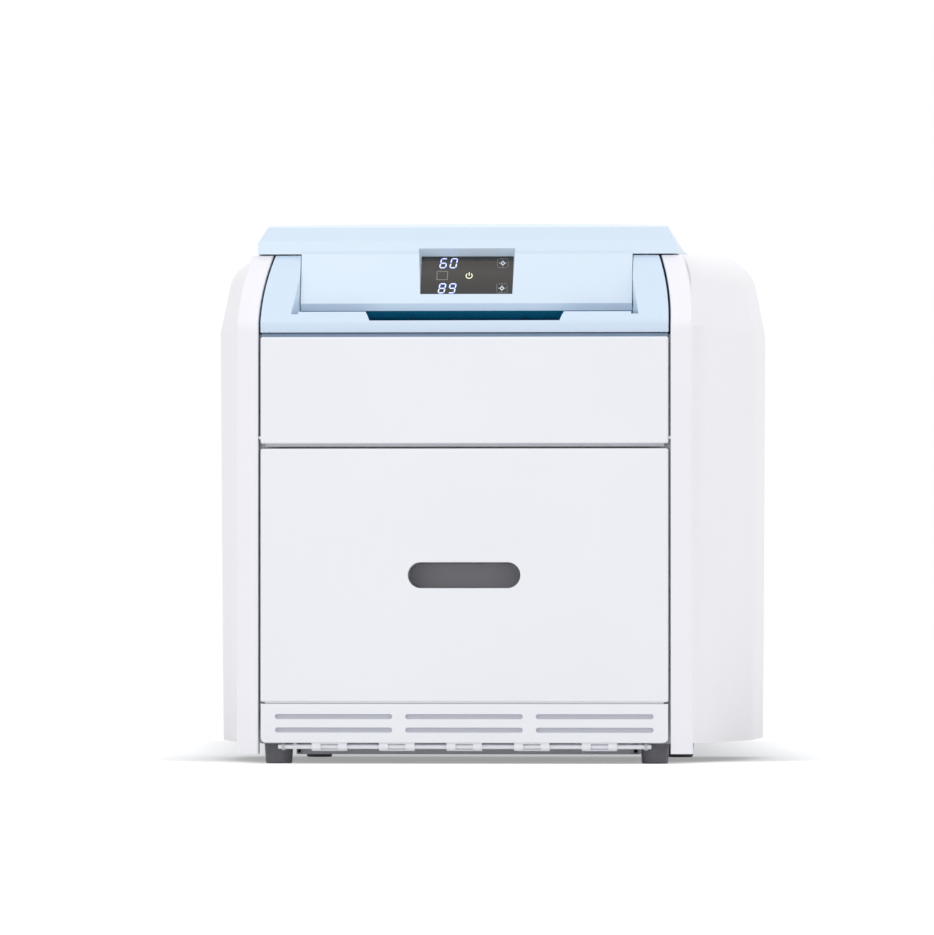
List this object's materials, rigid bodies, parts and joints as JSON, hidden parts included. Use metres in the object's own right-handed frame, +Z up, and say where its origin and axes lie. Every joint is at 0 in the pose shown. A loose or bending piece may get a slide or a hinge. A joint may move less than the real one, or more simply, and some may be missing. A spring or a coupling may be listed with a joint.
{
  "type": "medical dry laser imager",
  "caption": "Desk-top dry film imager: flared white housing, pale blue lifting hood with a tilted display, output recess, tip-down door, film drawer and coupled film drive.",
  "frame": {"origin": "middle of the footprint on the floor, under the feet", "axes": "+Z up, -Y to the front with the display, +X to the right seen from the front"},
  "size_m": [0.608, 0.6, 0.597],
  "materials": {
    "body_white": "fine satin, off white",
    "hood_blue": "smooth pale blue",
    "grip_grey": "fine grained",
    "display_tint": "dark tinted window",
    "dark_rubber": "matt",
    "frame_steel": "zinc plated",
    "panel_paint": "powder coated light grey",
    "drum_aluminium": "turned",
    "shaft_steel": "ground",
    "bearing_bronze": "sintered",
    "board_green": "circuit board",
    "motor_black": "satin",
    "gear_white": "moulded",
    "dark_plastic": "moulded",
    "filter_grey": "framed filter sheet",
    "film_blue": "stack of film",
    "roller_teal": "dark teal roller coating"
  },
  "bodies": {
    "chassis": {"base_pan": "frame_steel", "rubber_feet": "dark_rubber", "right_side_frame": "frame_steel", "left_side_frame": "frame_steel", "roller_bearings": "bearing_bronze", "upper_front_bar": "frame_steel", "middle_front_bar": "frame_steel", "lower_front_bar": "frame_steel", "right_pillar": "body_white", "left_pillar": "body_white", "right_side_cover": "body_white", "left_side_cover": "body_white", "front_bezel": "hood_blue", "rear_beam": "frame_steel", "lid_hinge_brackets": "frame_steel", "jam_door_pins": "shaft_steel", "right_outer_rail": "frame_steel", "left_outer_rail": "frame_steel", "hinge_rod": "body_white", "intake_filter": "filter_grey", "optics_deck": "frame_steel", "exposure_unit": "motor_black", "pickup_bracket": "frame_steel", "drum_cover": "panel_paint", "cooling_guide": "panel_paint", "timing_belt": "dark_rubber", "motor_bracket": "frame_steel", "drive_motor": "motor_black", "control_board": "board_green", "power_supply": "frame_steel", "rear_panel": "panel_paint", "fan_frame": "dark_plastic", "power_inlet": "dark_plastic"},
    "lid": {"lid_shell": "hood_blue", "display_window": "display_tint", "display_board": "board_green"},
    "jam_door": {"jam_door_panel": "body_white"},
    "film_drawer": {"drawer_front": "body_white", "grip_cup": "grip_grey", "film_tray": "panel_paint", "film_pack": "film_blue", "left_inner_rail": "frame_steel", "right_inner_rail": "frame_steel"},
    "foot_flap": {"vent_flap": "body_white"},
    "drum": {"heat_drum": "drum_aluminium", "drum_gear": "gear_white", "drum_pulley": "drum_aluminium"},
    "exit_drive_roller": {"exit_roller": "roller_teal", "exit_pulley": "drum_aluminium"},
    "exit_pinch": {"exit_pinch_roller": "roller_teal"},
    "feed_drive_roller": {"feed_roller": "dark_rubber", "feed_pulley": "drum_aluminium"},
    "feed_pinch": {"feed_pinch_roller": "dark_rubber"},
    "pickup": {"pickup_roller": "dark_rubber"},
    "first_drum_pinch": {"drum_pinch_roller_1": "shaft_steel"},
    "second_drum_pinch": {"drum_pinch_roller_2": "shaft_steel"},
    "pinion": {"motor_pinion": "shaft_steel"},
    "fan": {"fan_rotor": "dark_plastic"},
    "rocker": {"power_switch": "dark_plastic"}
  },
  "joints": [
    {"name": "lid_hinge", "type": "hinge", "parent": "chassis", "child": "lid", "pos_m": [0, 0.282, 0.566], "axis": [-1, 0, 0], "range_deg": [0, 60]},
    {"name": "jam_door_hinge", "type": "hinge", "parent": "chassis", "child": "jam_door", "pos_m": [0, -0.292, 0.359], "axis": [1, 0, 0], "range_deg": [0, 85]},
    {"name": "drawer_slide", "type": "slide", "parent": "chassis", "child": "film_drawer", "axis": [0, -1, 0], "range_m": [0, 0.38]},
    {"name": "vent_flap_hinge", "type": "hinge", "parent": "chassis", "child": "foot_flap", "pos_m": [0, -0.293, 0.0187], "axis": [1, 0, 0], "range_deg": [0, 85]},
    {"name": "drum_spin", "type": "hinge", "parent": "chassis", "child": "drum", "pos_m": [0, 0.1, 0.43], "axis": [1, 0, 0], "continuous": true},
    {"name": "exit_roller_spin", "type": "hinge", "parent": "chassis", "child": "exit_drive_roller", "pos_m": [0, -0.215, 0.478], "axis": [1, 0, 0], "continuous": true},
    {"name": "exit_pinch_spin", "type": "hinge", "parent": "chassis", "child": "exit_pinch", "pos_m": [0, -0.215, 0.5026], "axis": [1, 0, 0], "continuous": true},
    {"name": "feed_roller_spin", "type": "hinge", "parent": "chassis", "child": "feed_drive_roller", "pos_m": [0, 0.214, 0.19], "axis": [1, 0, 0], "continuous": true},
    {"name": "feed_pinch_spin", "type": "hinge", "parent": "chassis", "child": "feed_pinch", "pos_m": [0, 0.2386, 0.19], "axis": [1, 0, 0], "continuous": true},
    {"name": "pickup_spin", "type": "hinge", "parent": "chassis", "child": "pickup", "pos_m": [0, 0.14, 0.13], "axis": [1, 0, 0], "continuous": true},
    {"name": "first_drum_pinch_spin", "type": "hinge", "parent": "chassis", "child": "first_drum_pinch", "pos_m": [0, 0.15332, 0.47474], "axis": [1, 0, 0], "continuous": true},
    {"name": "second_drum_pinch_spin", "type": "hinge", "parent": "chassis", "child": "second_drum_pinch", "pos_m": [0, 0.08791, 0.49854], "axis": [1, 0, 0], "continuous": true},
    {"name": "pinion_spin", "type": "hinge", "parent": "chassis", "child": "pinion", "pos_m": [0, 0.13317, 0.37254], "axis": [1, 0, 0], "continuous": true},
    {"name": "fan_spin", "type": "hinge", "parent": "chassis", "child": "fan", "pos_m": [-0.09, 0.285, 0.4], "axis": [0, 1, 0], "continuous": true},
    {"name": "rocker_tilt", "type": "hinge", "parent": "chassis", "child": "rocker", "pos_m": [0.175, 0.2915, 0.1045], "axis": [-1, 0, 0], "range_deg": [0, 16]}
  ],
  "couplings": [
    {"joint": "exit_roller_spin", "follows": "drum_spin", "ratio": 5},
    {"joint": "exit_pinch_spin", "follows": "drum_spin", "ratio": -5},
    {"joint": "feed_roller_spin", "follows": "drum_spin", "ratio": 5},
    {"joint": "feed_pinch_spin", "follows": "drum_spin", "ratio": -5},
    {"joint": "pickup_spin", "follows": "drum_spin", "ratio": 4.2857},
    {"joint": "first_drum_pinch_spin", "follows": "drum_spin", "ratio": -6.6667},
    {"joint": "second_drum_pinch_spin", "follows": "drum_spin", "ratio": -6.6667},
    {"joint": "pinion_spin", "follows": "drum_spin", "ratio": -4.5}
  ]
}
